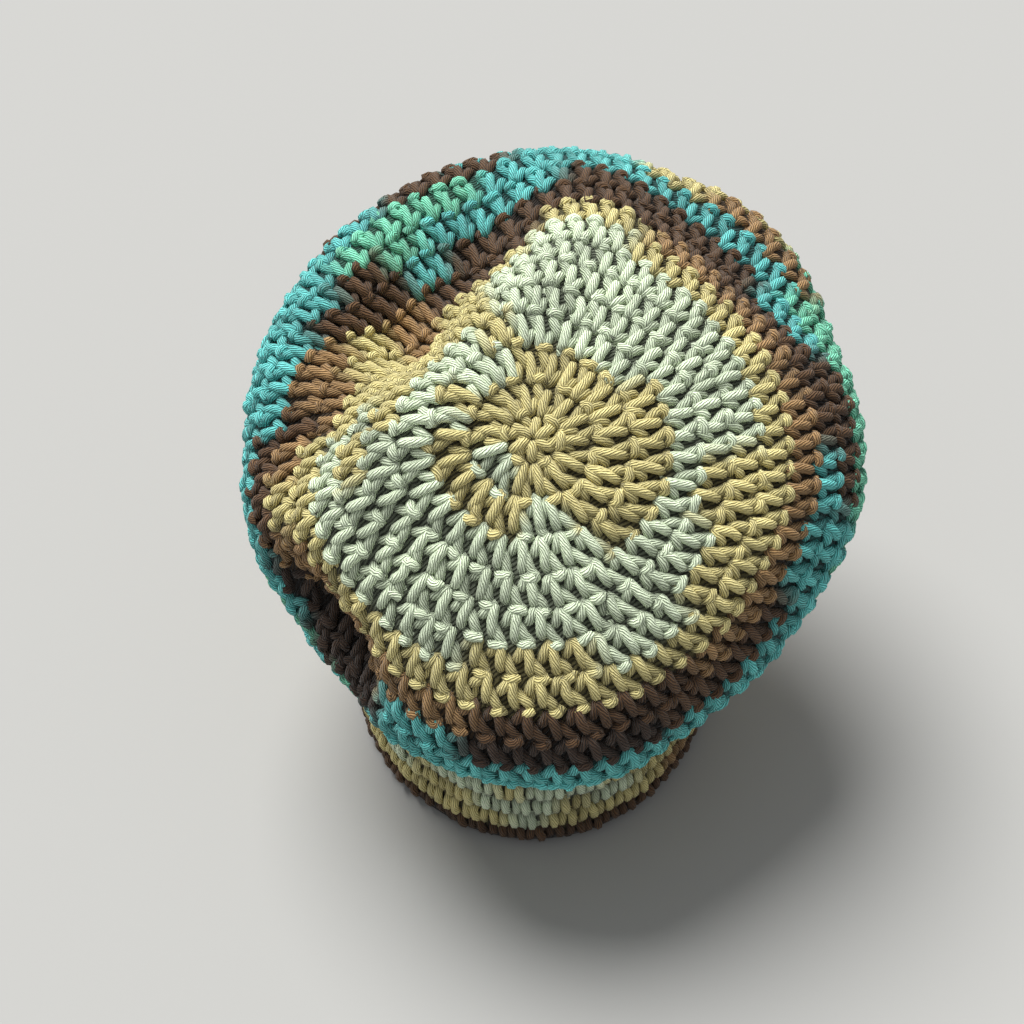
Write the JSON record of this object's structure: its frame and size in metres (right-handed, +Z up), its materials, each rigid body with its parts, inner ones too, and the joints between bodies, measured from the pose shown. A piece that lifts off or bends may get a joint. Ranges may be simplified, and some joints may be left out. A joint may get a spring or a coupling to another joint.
{
  "type": "crocheted slouchy beanie",
  "caption": "Slouchy crocheted cotton beanie with a full, folded bag of a crown over a snug head band, open below.",
  "frame": {"origin": "middle of the head opening, on the plane of the rim that the hat rests on", "axes": "+Z up through the crown, -Y toward the forehead, +Y toward the nape, +X toward the wearer's left"},
  "size_m": [0.2499, 0.2571, 0.2188],
  "materials": {
    "crown_yarn": "matt plied cotton yarn, crocheted, striped in sand, mint, brown and turquoise",
    "band_yarn": "matt plied cotton yarn, crocheted, striped in sand, mint and brown"
  },
  "bodies": {
    "root": {"crown": "crown_yarn", "band": "band_yarn"}
  },
  "joints": []
}
